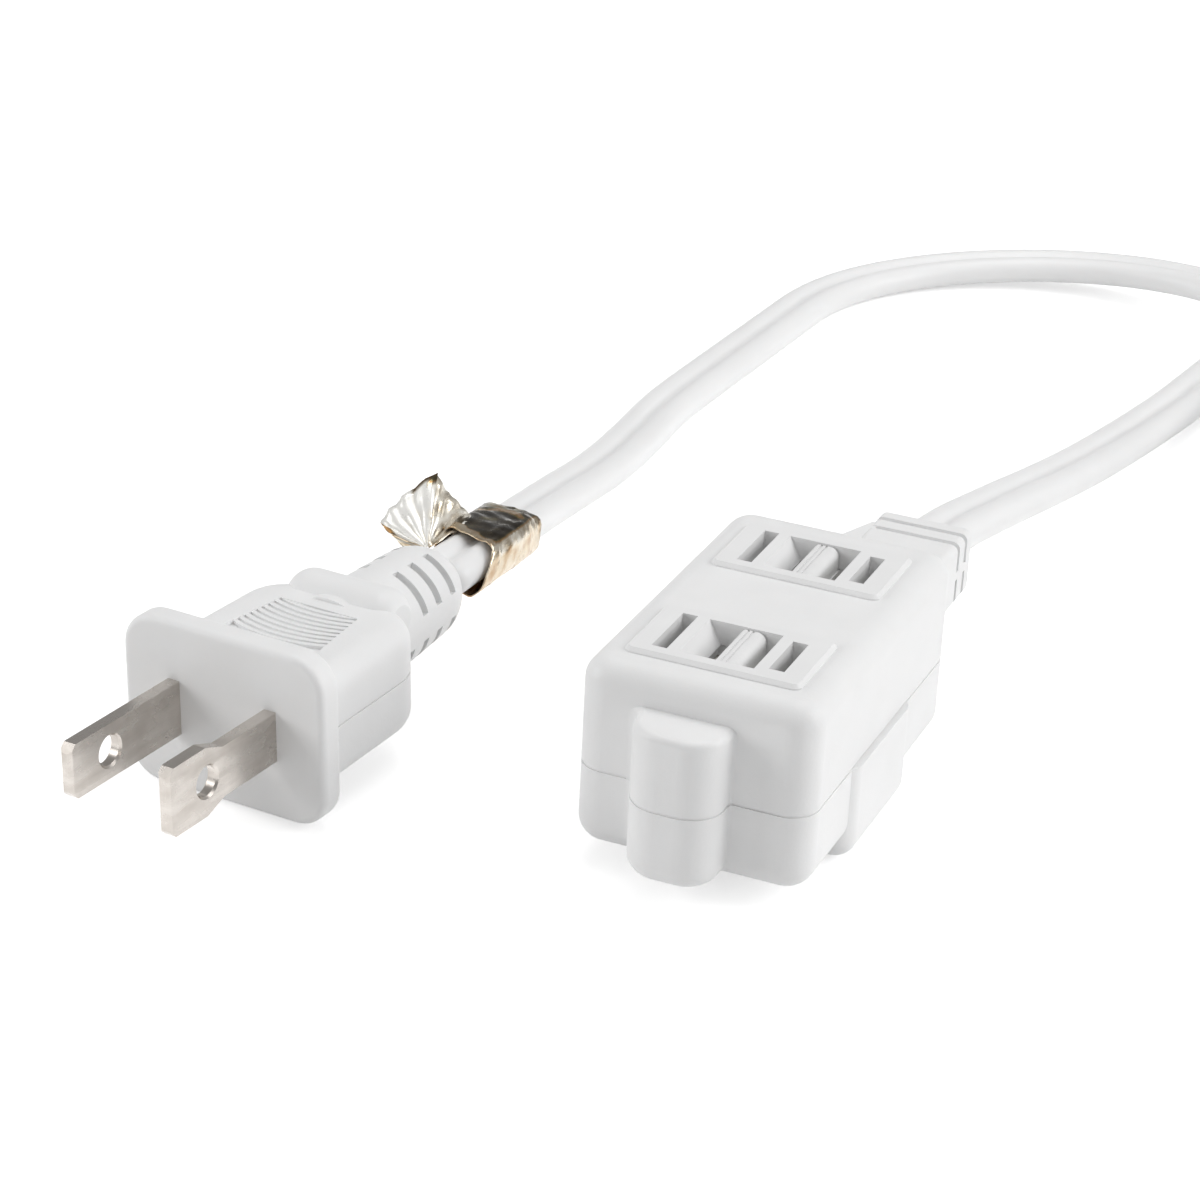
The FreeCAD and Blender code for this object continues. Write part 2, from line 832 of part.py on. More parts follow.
def hump():
    """The low hump over the strain relief's root, its two ends fading into the grip's top."""
    y = flange_thickness + grip_length - hump_back
    turn = math.radians(hump_fade_turn)
    reach, mid_reach = hump_fade * math.sin(turn), hump_fade * math.sin(turn / 2)
    drop, mid_drop = hump_fade * (1 - math.cos(turn)), hump_fade * (1 - math.cos(turn / 2))
    shoulder = hump_half - reach

    def at(x, radius):
        return Vector(x, y, hump_top - hump_radius + radius)

    outline = profile_face(
        [
            (at(-hump_half, 0), at(hump_half, 0)),
            (at(hump_half, 0), at(hump_half, hump_radius - drop)),
            (
                at(hump_half, hump_radius - drop),
                at(shoulder + mid_reach, hump_radius - mid_drop),
                at(shoulder, hump_radius),
            ),
            (at(shoulder, hump_radius), at(-shoulder, hump_radius)),
            (
                at(-shoulder, hump_radius),
                at(-shoulder - mid_reach, hump_radius - mid_drop),
                at(-hump_half, hump_radius - drop),
            ),
            (at(-hump_half, hump_radius - drop), at(-hump_half, 0)),
        ]
    )
    return outline.revolve(at(0, 0), Vector(1, 0, 0), 360)


def grip_groove():
    """The thin parting line round the grip's sides."""
    y0, y1 = flange_thickness - 0.5, flange_thickness + grip_length - seam_end
    half = groove_width / 2
    band = block(-flange_width, flange_width, y0, y1, grip_seam - half, grip_seam + half)
    return band.cut(grip_plan(groove_depth))


def relief():
    """The round tapered strain relief behind the grip, with its rows of slots."""
    start, end = relief_start, plug_end_y
    shoulder = end - relief_nose
    knee = relief_radius - relief_taper
    outline = profile_face(
        [
            (Vector(0, start, 0), Vector(relief_radius, start, 0)),
            (Vector(relief_radius, start, 0), Vector(knee, shoulder, 0)),
            (
                Vector(knee, shoulder, 0),
                Vector(knee - relief_nose_drop, end - relief_nose_mid, 0),
                Vector(relief_end_radius, end, 0),
            ),
            (Vector(relief_end_radius, end, 0), Vector(0, end, 0)),
            (Vector(0, end, 0), Vector(0, start, 0)),
        ]
    )
    shape = outline.revolve(Vector(0, 0, 0), Vector(0, 1, 0), 360).cut(relief_slot_tools())
    turn = math.degrees(math.atan2(relief_lift, end - start))
    return shape.rotate(Vector(0, start, 0), Vector(1, 0, 0), turn)


def relief_slot_tools():
    """The short slots round the strain relief: rows across it, each in four quarters."""
    tools = []
    outer = relief_radius + 1.0
    for y in relief_slots:
        share = (y - relief_slots[0]) / (relief_slots[-1] - relief_slots[0])
        inner = relief_radius - relief_slot_depth - relief_taper * share
        y0 = y - relief_slot_width / 2
        tube = Part.makeCylinder(outer, relief_slot_width, Vector(0, y0, 0), Vector(0, 1, 0))
        core = Part.makeCylinder(inner, relief_slot_width, Vector(0, y0, 0), Vector(0, 1, 0))
        ring = tube.cut(core)
        upper = y in relief_slots[-relief_upper_rows:]
        for middle in relief_slot_turns if upper else relief_slot_turns[2:]:
            low, high = math.radians(middle - relief_slot_span), math.radians(middle + relief_slot_span)
            reach = 2 * outer
            wedge = polygon_face(
                [
                    Vector(0, y0, 0),
                    Vector(reach * math.cos(low), y0, reach * math.sin(low)),
                    Vector(reach * math.cos(high), y0, reach * math.sin(high)),
                ]
            ).extrude(Vector(0, relief_slot_width, 0))
            tools.append(ring.common(wedge))
    return tools


def pad_tools():
    """The recess in the grip's top, and the arched ribs that stay in it."""
    end = pad_start + pad_length
    recess = polygon_face(
        [
            Vector(-pad_front_half, pad_start, grip_top - pad_depth),
            Vector(pad_front_half, pad_start, grip_top - pad_depth),
            Vector(pad_rear_half, end, grip_top - pad_depth),
            Vector(-pad_rear_half, end, grip_top - pad_depth),
        ]
    ).extrude(Vector(0, 0, pad_depth + 1))
    pitch = pad_length / pad_ribs
    ribs = []
    arch_radius = 16.0
    for k in range(pad_ribs):
        y = pad_start + (k + 0.5) * pitch
        centre = Vector(0, y + arch_radius, grip_top - pad_depth)
        outer = Part.makeCylinder(arch_radius + pitch * 0.28, pad_depth - 0.1, centre)
        inner = Part.makeCylinder(arch_radius - pitch * 0.28, pad_depth - 0.1, centre)
        ribs.append(outer.cut(inner).common(recess))
    return recess, ribs


def bridge_box():
    """The outside of the rigid bridge that holds the two blades."""
    box = centred(bridge_width, bridge_length, 0, -bridge_height / 2, bridge_height / 2)
    box.translate(Vector(0, bridge_start + bridge_length / 2, 0))
    return box


def blade(side, root, tip):
    """One flat blade with its crimp barrel, in the plug's own frame."""
    half = blade_thickness / 2
    x = side * slot_x - half
    flare_start, flare_end = -blade_length * 0.5, -blade_length * 0.66
    if abs(tip - root) < 0.01:
        flare_start, flare_end = -blade_length * 0.3, -blade_length * 0.6
    points = [
        Vector(x, bridge_start + 1.5, root / 2),
        Vector(x, flare_start, root / 2),
        Vector(x, flare_end, tip / 2 if tip > root else root / 2),
        Vector(x, -blade_length + blade_corner, tip / 2),
        Vector(x, -blade_length, tip / 2 - blade_corner),
    ]
    below = [Vector(p.x, p.y, -p.z) for p in reversed(points)]
    tail_start = bridge_start + 1.5
    tail = [
        Vector(x, tail_start, -tail_width / 2),
        Vector(x, tail_length, -tail_width / 2),
        Vector(x, tail_length, tail_width / 2),
        Vector(x, tail_start, tail_width / 2),
    ]
    if abs(tip - root) < 0.01:
        points = [points[0]] + points[3:]
        below = below[:2] + [below[-1]]
    plate = polygon_face(points + below).extrude(Vector(blade_thickness, 0, 0))
    tip_edges = [e for e in rim_at_y(plate, -blade_length) if abs(e.tangentAt(0).z) > 0.9]
    plate = plate.makeChamfer(blade_tip_chamfer, tip_edges)
    hole = Part.makeCylinder(
        blade_hole / 2, 4 * blade_thickness, Vector(x - blade_thickness, -blade_hole_at, 0), Vector(1, 0, 0)
    )
    plate = plate.cut(hole)
    plate = plate.makeChamfer(blade_hole_rim, [e for e in plate.Edges if isinstance(e.Curve, Part.Circle)])
    tongue = polygon_face(tail).extrude(Vector(blade_thickness, 0, 0))
    centre = Vector(side * slot_x, barrel_start, 0)
    barrel = Part.makeCylinder(barrel_radius, barrel_length, centre, Vector(0, 1, 0))
    bore = Part.makeCylinder(strand_diameter / 2, barrel_length, centre + Vector(0, 0.5, 0), Vector(0, 1, 0))
    return joined([plate, tongue, barrel]).cut(bore)


def plug_lead(side):
    """The insulated lead from a crimp barrel to the cord's end, in the plug's own frame."""
    start = barrel_start + barrel_length
    points = [
        Vector(side * slot_x, start, 0),
        Vector(side * slot_x, start + 3.5, 0),
        lifted(Vector(side * lead_pitch / 2, start + 15.0, 0)),
        lifted(Vector(side * lead_pitch / 2, plug_end_y, 0)),
    ]
    return round_wire(points, lead_diameter, 8.0)


def plug_strand(side):
    """The bare strands inside a crimp barrel."""
    start = Vector(side * slot_x, barrel_start + 0.5, 0)
    return strands((start, Vector(side * slot_x, barrel_start + barrel_length, 0)))


def plug_pieces():
    """The plug's pieces in its own frame."""
    hot = blade(-1, hot_blade_width, hot_blade_width)
    neutral = blade(1, neutral_root_width, neutral_blade_width)
    hot_lead, neutral_lead = plug_lead(-1), plug_lead(1)
    hot_strand, neutral_strand = plug_strand(-1), plug_strand(1)
    bridge = bridge_box().cut([hot, neutral])
    outside = flange().fuse([grip(), relief(), hump()]).cut(grip_groove())
    recess, ribs = pad_tools()
    outside = joined([outside.cut(recess)] + ribs)
    body = outside.cut([bridge_box(), hot, neutral, hot_lead, neutral_lead, hot_strand, neutral_strand])
    return {
        "plug_body": body,
        "plug_bridge": bridge,
        "hot_blade": hot,
        "neutral_blade": neutral,
        "plug_hot_lead": hot_lead,
        "plug_neutral_lead": neutral_lead,
        "plug_hot_strands": hot_strand,
        "plug_neutral_strands": neutral_strand,
    }


def coil_path():
    """The coil's centre line, from the tap's side to the plug's side, clockwise seen from above.

    The loops have two straight sides. They spiral in on the surface, climb one layer along a straight
    side where the spiral reverses, and spiral out on top.
    """
    edges = []
    straight = Vector(0, coil_straight, 0)
    reach = coil_reach
    first = reach + coil_pitch / 2
    middle = coil_at.x - coil_pitch / 2
    top_y = coil_at.y + coil_straight / 2
    z = coil_z
    lead_in = Vector(middle - cord_width - 0.4, top_y + first, z)
    crown = Vector(middle, top_y + first, z)
    right = Vector(middle + first, top_y, z)
    bend = Vector(middle + first * math.sqrt(0.5), top_y + first * math.sqrt(0.5), z)
    edges.append(Part.LineSegment(lead_in, crown).toShape())
    edges.append(Part.Arc(crown, bend, right).toShape())
    here = right
    down = True
    deepest = coil_half_turns // 2
    for turn in range(coil_half_turns):
        ahead = here - straight if down else here + straight
        if turn == deepest:
            lift = Vector(0, 0, coil_rise)
            quarter = math.atan2(coil_rise, coil_straight)
            centre = (here + ahead + lift) * 0.5
            bow = Vector(0, 0, coil_straight * math.tan(quarter / 2) / 4)
            edges.append(Part.Arc(here, (here + centre) * 0.5 - bow, centre).toShape())
            edges.append(Part.Arc(centre, (centre + ahead + lift) * 0.5 + bow, ahead + lift).toShape())
            z += coil_rise
            ahead = ahead + lift
        else:
            edges.append(Part.LineSegment(here, ahead).toShape())
        side = 1 if down else -1
        far = Vector(ahead.x - 2 * side * reach, ahead.y, z)
        top = Vector(ahead.x - side * reach, ahead.y - side * reach, z)
        edges.append(Part.Arc(ahead, top, far).toShape())
        here = far
        down = not down
        reach += -coil_pitch / 2 if turn < deepest else coil_pitch / 2
    end = here + straight * 0.5
    edges.append(Part.LineSegment(here, end).toShape())
    return Part.Wire(edges), lead_in, end


def least_self_gap(path):
    """The coil's least gap to itself, from points along the middles of the cord's two lobes."""
    lobe = (cord_width - cord_thickness) / 2
    rows = []
    travelled = 0.0
    for edge in path.Edges:
        count = max(2, int(edge.Length / 1.5))
        for k in range(count):
            share = (k + 0.5) / count
            at = edge.FirstParameter + share * (edge.LastParameter - edge.FirstParameter)
            point, heading = edge.valueAt(at), edge.tangentAt(at)
            side = heading.cross(Vector(0, 0, 1)).normalize() * lobe
            rows.append((travelled + share * edge.Length, point + side))
            rows.append((travelled + share * edge.Length, point - side))
        travelled += edge.Length
    least = 1000.0
    apart = 3 * cord_width
    for k, (s, p) in enumerate(rows):
        for t, q in rows[k + 1:]:
            if abs(t - s) > apart:
                dx, dy, dz = p.x - q.x, p.y - q.y, p.z - q.z
                if abs(dx) < 6 and abs(dy) < 6:
                    least = min(least, dx * dx + dy * dy + dz * dz)
    return math.sqrt(least) - cord_thickness


def coil_tie():
    """A flat tie round the turns on the coil's right side, with a small twisted knot on top."""
    turns = (coil_half_turns + 1) / 4
    outer_x = coil_at.x + coil_reach + cord_width / 2 + tie_gap
    inner_x = coil_at.x + coil_reach - turns * coil_pitch - cord_width / 2 - tie_gap
    z0 = coil_z - cord_thickness / 2 - 0.1
    z1 = coil_z + coil_rise + cord_thickness / 2 + tie_gap
    y0, y1 = coil_at.y - tie_width / 2, coil_at.y + tie_width / 2
    thick = tie_thickness
    inside = block(inner_x, outer_x, y0, y1, z0, z1)
    outside = block(inner_x - thick, outer_x + thick, y0, y1, z0 - thick, z1 + thick)
    outside = outside.makeFillet(tie_corner, edges_along(outside, Vector(0, 1, 0)))
    knot_x = (inner_x + outer_x) / 2
    foot = Vector(knot_x, coil_at.y - tie_knot / 2, z1 + tie_knot_radius)
    knot = Part.makeCylinder(tie_knot_radius, tie_knot, foot, Vector(0, 1, 0))
    knot = knot.makeFillet(0.4, knot.Edges[0])
    return joined([outside.cut(inside), knot.cut(inside)])


def loop_profile(centre, direction, inset):
    """The outline of the foil band: a round-cornered loop, a little loose over the cord."""
    side = direction.cross(Vector(0, 0, 1)).normalize()
    up = side.cross(direction).normalize()
    half = cord_width / 2 + tag_clearance + tag_thickness - inset
    low = -cord_thickness / 2 - tag_clearance - tag_thickness + inset
    high = cord_thickness / 2 + tag_slack + tag_thickness - inset
    corner = 1.9 - inset
    mid = corner * (1 - math.sqrt(0.5))

    def at(a, b):
        return centre + side * a + up * b

    runs = []
    for left in (-1, 1):
        runs += [
            (at(left * half, low + corner), at(left * half, high - corner)),
            (
                at(left * half, high - corner),
                at(left * (half - mid), high - mid),
                at(left * (half - corner), high),
            ),
            (
                at(left * half, low + corner),
                at(left * (half - mid), low + mid),
                at(left * (half - corner), low),
            ),
        ]
    runs.append((at(corner - half, high), at(half - corner, high)))
    runs.append((at(corner - half, low), at(half - corner, low)))
    return profile_face(runs).OuterWire


def flap(points):
    """One flat flap of foil from its outline in the plug's own frame, pressed flat where it isn't quite."""
    corners = [plug_point(*point) for point in points]
    first, middle, last = corners[0], corners[len(corners) // 2], corners[-1]
    normal = (middle - first).cross(last - first).normalize()
    flat = [corner - normal * normal.dot(corner - first) for corner in corners]
    return polygon_face(flat).extrude(normal * tag_thickness)


def tag_offcut(y, lean, way):
    """What is cut off one end of the foil band, whose edges run askew. The front edge also leans back."""
    reach = 3 * cord_width
    corners = [(-reach, -reach), (reach, -reach), (reach, reach), (-reach, reach)]
    points = [Vector(x, y + tag_skew * x + lean * z, z) for x, z in corners]
    return placed(polygon_face(points).extrude(Vector(0, way * reach, 0)))


def tag():
    """The foil tag: a band folded round the cord, and its free end standing up in two creased flaps."""
    start, corner, beyond = cord_start, plug_first, plug_route[0]
    ahead, back = (beyond - corner).normalize(), (start - corner).normalize()
    cut = 0.45 * min((corner - start).Length, (beyond - corner).Length)
    bend = cut / math.tan((math.pi - back.getAngle(ahead)) / 2)
    near = start - back * tag_start
    far = corner + ahead * (tag_end - (corner - start).Length)
    path, _ = tangent_path([near, corner, far], bend)
    outer = swept(path, loop_profile(near, corner - near, 0))
    inner = swept(path, loop_profile(near, corner - near, tag_thickness))
    front, rear = plug_end_y + tag_front, plug_end_y + tag_rear
    band = outer.cut([inner, tag_offcut(front, tag_lean, -1), tag_offcut(rear, 0, 1)])
    foot, tip = plug_point(*tag_fan[0]), plug_point(*tag_fan[-1])
    crease = Part.makeCylinder(tag_crease, (tip - foot).Length, foot, tip - foot)
    return band.fuse([flap(tag_fan), flap(tag_gusset), crease])


plug_place = lying_place()
plug = plug_pieces()
for name, shape in plug.items():
    export(placed(shape), name)

export(tap_body(), "tap_body")
export(carrier_top(), "carrier_top")
export(carrier_bottom(), "carrier_bottom")
y0, y1 = cavity_front + guide_play, cavity_rear - guide_play
export(guide_plate(y0, y1, guide_bottom_z, (front_outlet_y, rear_outlet_y)), "guide_plate_top")
y0, y1 = outlet_y - channel_half - under_guide_lap, outlet_y + channel_half + under_guide_lap
export(guide_plate(y0, y1, under_guide_z, (outlet_y,)), "guide_plate_bottom")
export(shutter(front_outlet_y, front_shutter_slide, True), "slider_front")
export(shutter(rear_outlet_y, rear_shutter_slide, True), "slider_rear")
export(shutter(outlet_y, under_shutter_slide, False), "slider_under")
strip = contact_strip()
export(strip, "hot_contact_strip")
export(mirrored_x(strip), "neutral_contact_strip")
hot_lead, neutral_lead = leads()
export(hot_lead, "tap_hot_lead")
export(neutral_lead, "tap_neutral_lead")
for name, side in (("tap_hot_strands", 1), ("tap_neutral_strands", -1)):
    end = Vector(side * lead_x, cavity_rear - strand_length, split_height)
    export(strands((Vector(side * lead_x, cavity_rear, split_height), end)), name)

coil, tap_end, plug_end = coil_path()
print("coil least gap to itself", round(least_self_gap(coil), 2))
coil_solid = cord_solid(coil, tap_end, Vector(1, 0, 0), "cord_coil")
export(coil_solid, "cord_coil")
export(coil_tie(), "coil_tie")

cord_start = plug_place.multVec(lifted(Vector(0, plug_end_y, 0)))
plug_first = plug_place.multVec(lifted(Vector(0, plug_end_y + plug_lead_out, 0)))
plug_path, plug_radii = tangent_path([cord_start, plug_first] + plug_route + [plug_end])
tap_exit = Vector(collar_offset, collar_y, collar_height)
tap_first = Vector(collar_offset, collar_y + tap_lead_out, collar_height)
tap_path, tap_radii = tangent_path([tap_exit, tap_first] + tap_route + [tap_end])
print("plug run radii", [round(r) for r in plug_radii])
print("tap run radii", [round(r) for r in tap_radii])
plug_run = cord_solid(plug_path, cord_start, plug_first - cord_start, "cord_plug_run")
tap_run = cord_solid(tap_path, tap_exit, tap_first - tap_exit, "cord_tap_run")
export(plug_run, "cord_plug_run")
export(tap_run, "cord_tap_run")
export(tag(), "wrap_label")
made = coil.Length + plug_path.Length + tap_path.Length
print("whole cord", round(made, 1), "of", cord_length)
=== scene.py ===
"""Extension cord: the looks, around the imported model. Metres; sizes marked mm are in millimetres."""

import math

import bpy
from mathutils import Matrix, Vector, noise


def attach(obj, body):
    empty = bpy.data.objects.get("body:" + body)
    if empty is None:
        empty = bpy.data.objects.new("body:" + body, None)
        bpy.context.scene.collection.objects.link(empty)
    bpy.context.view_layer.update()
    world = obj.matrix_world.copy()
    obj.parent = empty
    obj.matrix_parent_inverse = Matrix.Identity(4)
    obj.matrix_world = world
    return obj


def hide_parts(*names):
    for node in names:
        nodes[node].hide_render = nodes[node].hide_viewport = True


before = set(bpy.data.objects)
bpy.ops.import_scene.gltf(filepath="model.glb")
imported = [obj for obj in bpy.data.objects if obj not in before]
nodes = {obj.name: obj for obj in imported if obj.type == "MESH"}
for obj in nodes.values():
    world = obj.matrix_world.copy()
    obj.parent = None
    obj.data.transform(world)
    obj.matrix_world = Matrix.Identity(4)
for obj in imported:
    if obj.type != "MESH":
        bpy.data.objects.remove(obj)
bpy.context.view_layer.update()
BODY = "cord_set"
MM = 0.001

# The plug's place, the cord's two ends, its section and its length, in mm, as in the CAD source
PLUG_AT = Vector((-51.05, -30.4, 10.2379))
PLUG_YAW = math.radians(-7.7)
PLUG_SIDE_TILT = math.radians(-1.9)
PLUG_REAR_TILT = math.radians(0.5)
PLUG_END = 40.5
PLUG_LEAD_OUT = 10.7
RELIEF_START = 19.9
RELIEF_LIFT = 0.84
TAP_EXIT = Vector((6.8, 29.5, 19.1))
TAP_LEAD_OUT = 5.0
CORD_WIDTH = 7.4
CORD_THICKNESS = 3.8
CORD_WEB = 2.5
LOBE_STEPS = 18
SPLINE_STEPS = 8

# The cord's free stretches, in mm
PLUG_ROUTE = [
    (-46.7, 36.5, 8.4),
    (-47.4, 49.5, 6.5),
    (-47.7, 63.5, 4.6),
    (-49.2, 78.0, 3.0),
    (-50.8, 92.5, 2.1),
    (-50.1, 107.5, 1.95),
    (-48.7, 128.3, 2.0),
    (-47.5, 148.5, 1.95),
    (-36.7, 165.2, 2.2),
    (-19.1, 174.5, 3.3),
    (0.8, 173.9, 5.1),
    (17.9, 163.6, 6.5),
    (27.7, 146.2, 6.7),
]
TAP_ROUTE = [
    (8.9, 51.5, 16.6),
    (9.75, 66.5, 13.4),
    (10.2, 82.5, 9.9),
    (10.5, 98.5, 6.7),
    (11.2, 114.5, 4.2),
    (12.3, 129.5, 2.5),
    (15.2, 157.7, 1.95),
    (25.6, 172.8, 2.1),
    (43.1, 180.15, 2.4),
]

# The coil of the put-away length, in mm
COIL_AT = Vector((69.6, 122.2, 0.0))
COIL_REACH = 34.0
COIL_STRAIGHT = 40.0
COIL_PITCH = 7.9
COIL_RISE = 4.3
COIL_HALF_TURNS = 11
COIL_Z = 2.4
HALF_TURN_POINTS = 7
QUARTER_POINTS = 4

# The foil tag, in mm: its band, whose front and rear are distances along the cord from the plug
FOIL_THICKNESS = 0.12
BAND_FRONT = 3.85
BAND_REAR = 21.3
BAND_FRONT_SKEW = -0.37
BAND_REAR_SKEW = -0.45
BAND_LEAN = 0.95
BAND_HALF = 4.15
BAND_TOP = 2.3
BAND_BOTTOM = -2.15
BAND_CORNER = 1.5
BAND_CORNER_STEPS = 5
BAND_STEP = 0.45
BAND_RINGS = 34
BAND_STANDOFF = 0.18
BAND_SIDE = BAND_HALF - 0.9
BAND_CREASED_FROM = 1.6
BAND_CREASED_ABOVE = 1.0
SMOOTH_CRUMPLE = 0.25
BAND_CRUMPLE = 0.5
FLAP_CRUMPLE = 0.45

# The tag's free end: a fan in the plug's own frame, in mm, folded back at edge point FLAP_FOLD
FLAP_RAYS = 54
FLAP_STEPS = 12
FLAP_PLEAT = 0.25
FLAP_PLEAT_TURN = 1.35
FLAP_FOLD = 5
FLAP_FOOT = (-3.5, 44.4, 2.5)
FLAP_EDGE = [
    (-6.58, 43.56, 2.57),
    (-8.77, 44.02, 3.49),
    (-10.38, 44.5, 4.28),
    (-9.77, 46.56, 5.83),
    (-8.77, 48.64, 7.29),
    (-6.79, 51.5, 9.15),
    (-5.98, 51.6, 7.42),
    (-5.27, 52.33, 5.87),
    (-4.5, 53.56, 4.16),
    (-3.97, 54.4, 3.1),
    (-3.3, 52.6, 3.35),
    (-2.7, 50.4, 3.3),
]

# The foil's tones run from 0, dark bronze, over brown and champagne to 1, nearly white
# The band's dark top is painted dark reflection, with the print on it.
TONE_TOP_REFLECTION_AND_PRINT = 0.08
TONE_CORNER = 0.26
TONE_RIM = 0.3
TONE_BOTTOM = 0.35
TONE_LIP = 0.46
TONE_SIDE = 0.52
# The pleated part of the free end carries painted shade along its pleats.
TONE_PLEATS = 0.8
TONE_FOLD = 0.72

# Where the tones change: heights and widths in mm, shares of the band or of a ray, places along the edge
# Above this height the band's side is lighter: a painted highlight along its upper edge.
SIDE_HIGHLIGHT_ABOVE = 1.2
UNDERSIDE = BAND_TOP - 0.8
LIP = 0.05
# The pale arc on the band's top is a painted highlight.
ARC_AT = 0.8
ARC_BEND = 0.014
ARC_MIDDLE = 0.8
ARC_HALF = 0.06
ARC_ACROSS = 3.0
ARC_HIGHLIGHT_TONE = 0.34
PLEATED_UP_TO = 0.95
CORNER_START, CORNER_END, CORNER_FROM = 0.9, 1.75, 0.74
RIM_START, RIM_SLOPE = 4.05, 0.13

# The camera that took the photo: its place in metres, its axes, and its focal length in the photo's pixels
CAMERA_AT = Vector((0.108253, -0.313282, 0.180599))
CAMERA_RIGHT = Vector((0.915301, 0.400251, 0.044985))
CAMERA_UP = Vector((-0.210042, 0.379037, 0.901229))
CAMERA_BACK = Vector((0.343666, -0.834344, 0.431002))
FOCAL_PIXELS = 3417.02
PHOTO_PIXELS = 1200.0
SENSOR_WIDTH = 36.0

# The floor's half width in metres, and its height in mm
FLOOR_HALF = 3.0
FLOOR_LEVEL = -0.05


def turned(axis, angle):
    """A turn about one axis."""
    return Matrix.Rotation(angle, 3, axis)


PLUG_TURN = turned("Z", PLUG_YAW) @ turned("Y", PLUG_SIDE_TILT) @ turned("X", PLUG_REAR_TILT)


def plug_point(x, y, z):
    """A point of the plug's own frame, in mm, where the plug lies."""
    return PLUG_AT + PLUG_TURN @ Vector((x, y, z))


def relief_point(y):
    """A point on the strain relief's own axis, which points up a little."""
    pivot = Vector((0, RELIEF_START, 0))
    turn = turned("X", math.atan2(RELIEF_LIFT, PLUG_END - RELIEF_START))
    return plug_point(*(pivot + turn @ Vector((0, y - RELIEF_START, 0))))


def coil_points():
    """The coil's control points: corners of polygons drawn round its half circles."""
    first = COIL_REACH + COIL_PITCH / 2
    centre = Vector((COIL_AT.x - COIL_PITCH / 2, COIL_AT.y + COIL_STRAIGHT / 2, COIL_Z))
    step = math.pi / 2 / QUARTER_POINTS
    points = []
    for k in range(QUARTER_POINTS):
        angle = math.pi / 2 - (k + 0.5) * step
        points.append(centre + Vector((math.cos(angle), math.sin(angle), 0)) * (first / math.cos(step / 2)))
    here = centre + Vector((first, 0, 0))
    reach = COIL_REACH
    step = math.pi / HALF_TURN_POINTS
    deepest = COIL_HALF_TURNS // 2
    for turn in range(COIL_HALF_TURNS):
        side = -1 if turn % 2 else 1
        lift = COIL_RISE if turn == deepest else 0.0
        centre = here + Vector((-side * reach, -side * COIL_STRAIGHT, lift))
        for k in range(HALF_TURN_POINTS):
            angle = -(k + 0.5) * step
            out = Vector((math.cos(angle), math.sin(angle), 0)) * (side * reach / math.cos(step / 2))
            points.append(centre + out)
        here = centre - Vector((side * reach, 0, 0))
        reach += -COIL_PITCH / 2 if turn < deepest else COIL_PITCH / 2
    return points


def new_mesh(name, verts, faces):
    """A smooth mesh object from vertices in mm."""
    mesh = bpy.data.meshes.new(name)
    mesh.from_pydata([tuple(Vector(v) * MM) for v in verts], [], faces)
    mesh.validate()
    mesh.shade_smooth()
    obj = bpy.data.objects.new(name, mesh)
    bpy.context.scene.collection.objects.link(obj)
    return obj


def spline_points(name, controls):
    """The points along a smooth spline that has these control points, in mm."""
    curve = bpy.data.curves.new(name, "CURVE")
    curve.dimensions = "3D"
    curve.resolution_u = SPLINE_STEPS
    spline = curve.splines.new("NURBS")
    spline.points.add(len(controls) - 1)
    for point, place in zip(spline.points, controls):
        point.co = (*(Vector(place) * MM), 1.0)
    spline.order_u = 3
    spline.use_endpoint_u = True
    holder = bpy.data.objects.new(name, curve)
    bpy.context.scene.collection.objects.link(holder)
    bpy.context.view_layer.update()
    graph = bpy.context.evaluated_depsgraph_get()
    line = bpy.data.meshes.new_from_object(holder.evaluated_get(graph))
    points = [v.co.copy() / MM for v in line.vertices]
    bpy.data.objects.remove(holder)
    bpy.data.curves.remove(curve)
    bpy.data.meshes.remove(line)
    return points


def frames_along(points):
    """Each point's heading, and the sideways and upward directions of a flat cord there."""
    rows = []
    for k, point in enumerate(points):
        before = points[max(k - 1, 0)]
        after = points[min(k + 1, len(points) - 1)]
        ahead = (after - before).normalized()
        side = ahead.cross(Vector((0, 0, 1))).normalized()
        rows.append((point, ahead, side, side.cross(ahead)))
    return rows


def cord_section():
    """The flat cord's outline: two round lobes and the web between them."""
    radius = CORD_THICKNESS / 2
    lobe = CORD_WIDTH / 2 - radius
    valley = math.asin(CORD_WEB / 2 / radius)
    section = []
    for side in (1, -1):
        for k in range(LOBE_STEPS + 1):
            angle = (math.pi - valley) - k / LOBE_STEPS * 2 * (math.pi - valley)
            section.append((side * (lobe + radius * math.cos(angle)), side * radius * math.sin(angle)))
    return section


def ring_faces(rings, count):
    """The faces between rings of vertices, each ring closed and with this many vertices."""
    faces = []
    for ring in range(rings - 1):
        for k in range(count):
            a, b = ring * count + k, ring * count + (k + 1) % count
            faces.append((a, b, b + count, a + count))
    return faces


def tube(name, points, section):
    """A closed tube with this section along the points."""
    verts = []
    count = len(section)
    rows = frames_along(points)
    for place, _, side, up in rows:
        verts += [place + side * a + up * b for a, b in section]
    faces = ring_faces(len(rows), count)
    faces.append(tuple(reversed(range(count))))
    faces.append(tuple(range(len(verts) - count, len(verts))))
    return new_mesh(name, verts, faces)


tap_first = TAP_EXIT + Vector((0, TAP_LEAD_OUT, 0))
plug_end, plug_first = relief_point(PLUG_END), relief_point(PLUG_END + PLUG_LEAD_OUT)
controls = [TAP_EXIT, tap_first] + TAP_ROUTE + coil_points() + PLUG_ROUTE[::-1] + [plug_first, plug_end]
cord_line = spline_points("cord_route", controls)
cord = tube("flat_cord", cord_line, cord_section())
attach(cord, BODY)
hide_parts("cord_tap_run", "cord_coil", "cord_plug_run")
cord_length = sum((b - a).length for a, b in zip(cord_line, cord_line[1:]))
print("cord", round(cord_length, 1), "mm in", len(cord_line), "points")


